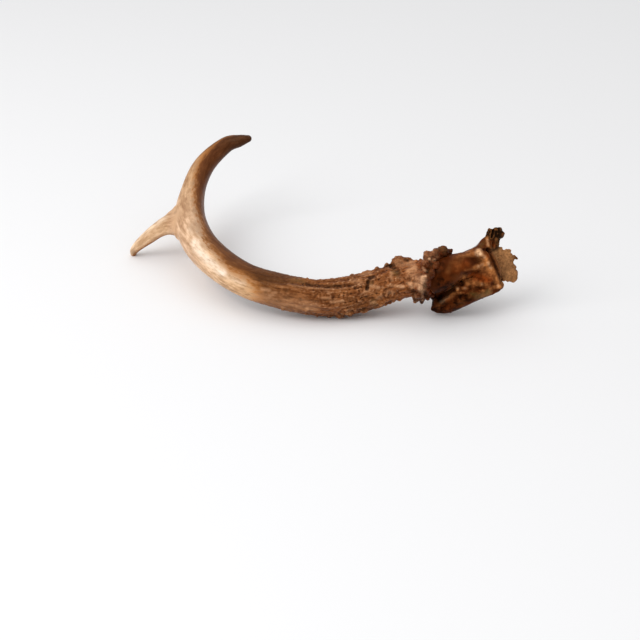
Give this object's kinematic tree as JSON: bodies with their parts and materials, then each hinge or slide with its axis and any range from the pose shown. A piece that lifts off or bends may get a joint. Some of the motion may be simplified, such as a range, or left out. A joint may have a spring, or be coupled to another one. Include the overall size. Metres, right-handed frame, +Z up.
{
  "type": "deer antler",
  "caption": "Curved deer antler with a hooked main tine and a short fork, a rough burr, and a broken piece of skull still on its base.",
  "frame": {"origin": "on the plane it rests on, under the middle of the whole outline", "axes": "+X along the beam from the fork towards the skull, +Y towards the hooked tine, +Z up as it lies"},
  "size_m": [0.285, 0.1904, 0.0744],
  "materials": {
    "antler": "satin, weathered tan to brown horn with darker furrows",
    "skull_bone": "semi-gloss dark red-brown bone, matt and rough where it broke"
  },
  "bodies": {
    "root": {"beam": "antler", "hooked_tine": "antler", "short_tine": "antler", "skull_piece": "skull_bone"}
  },
  "joints": []
}
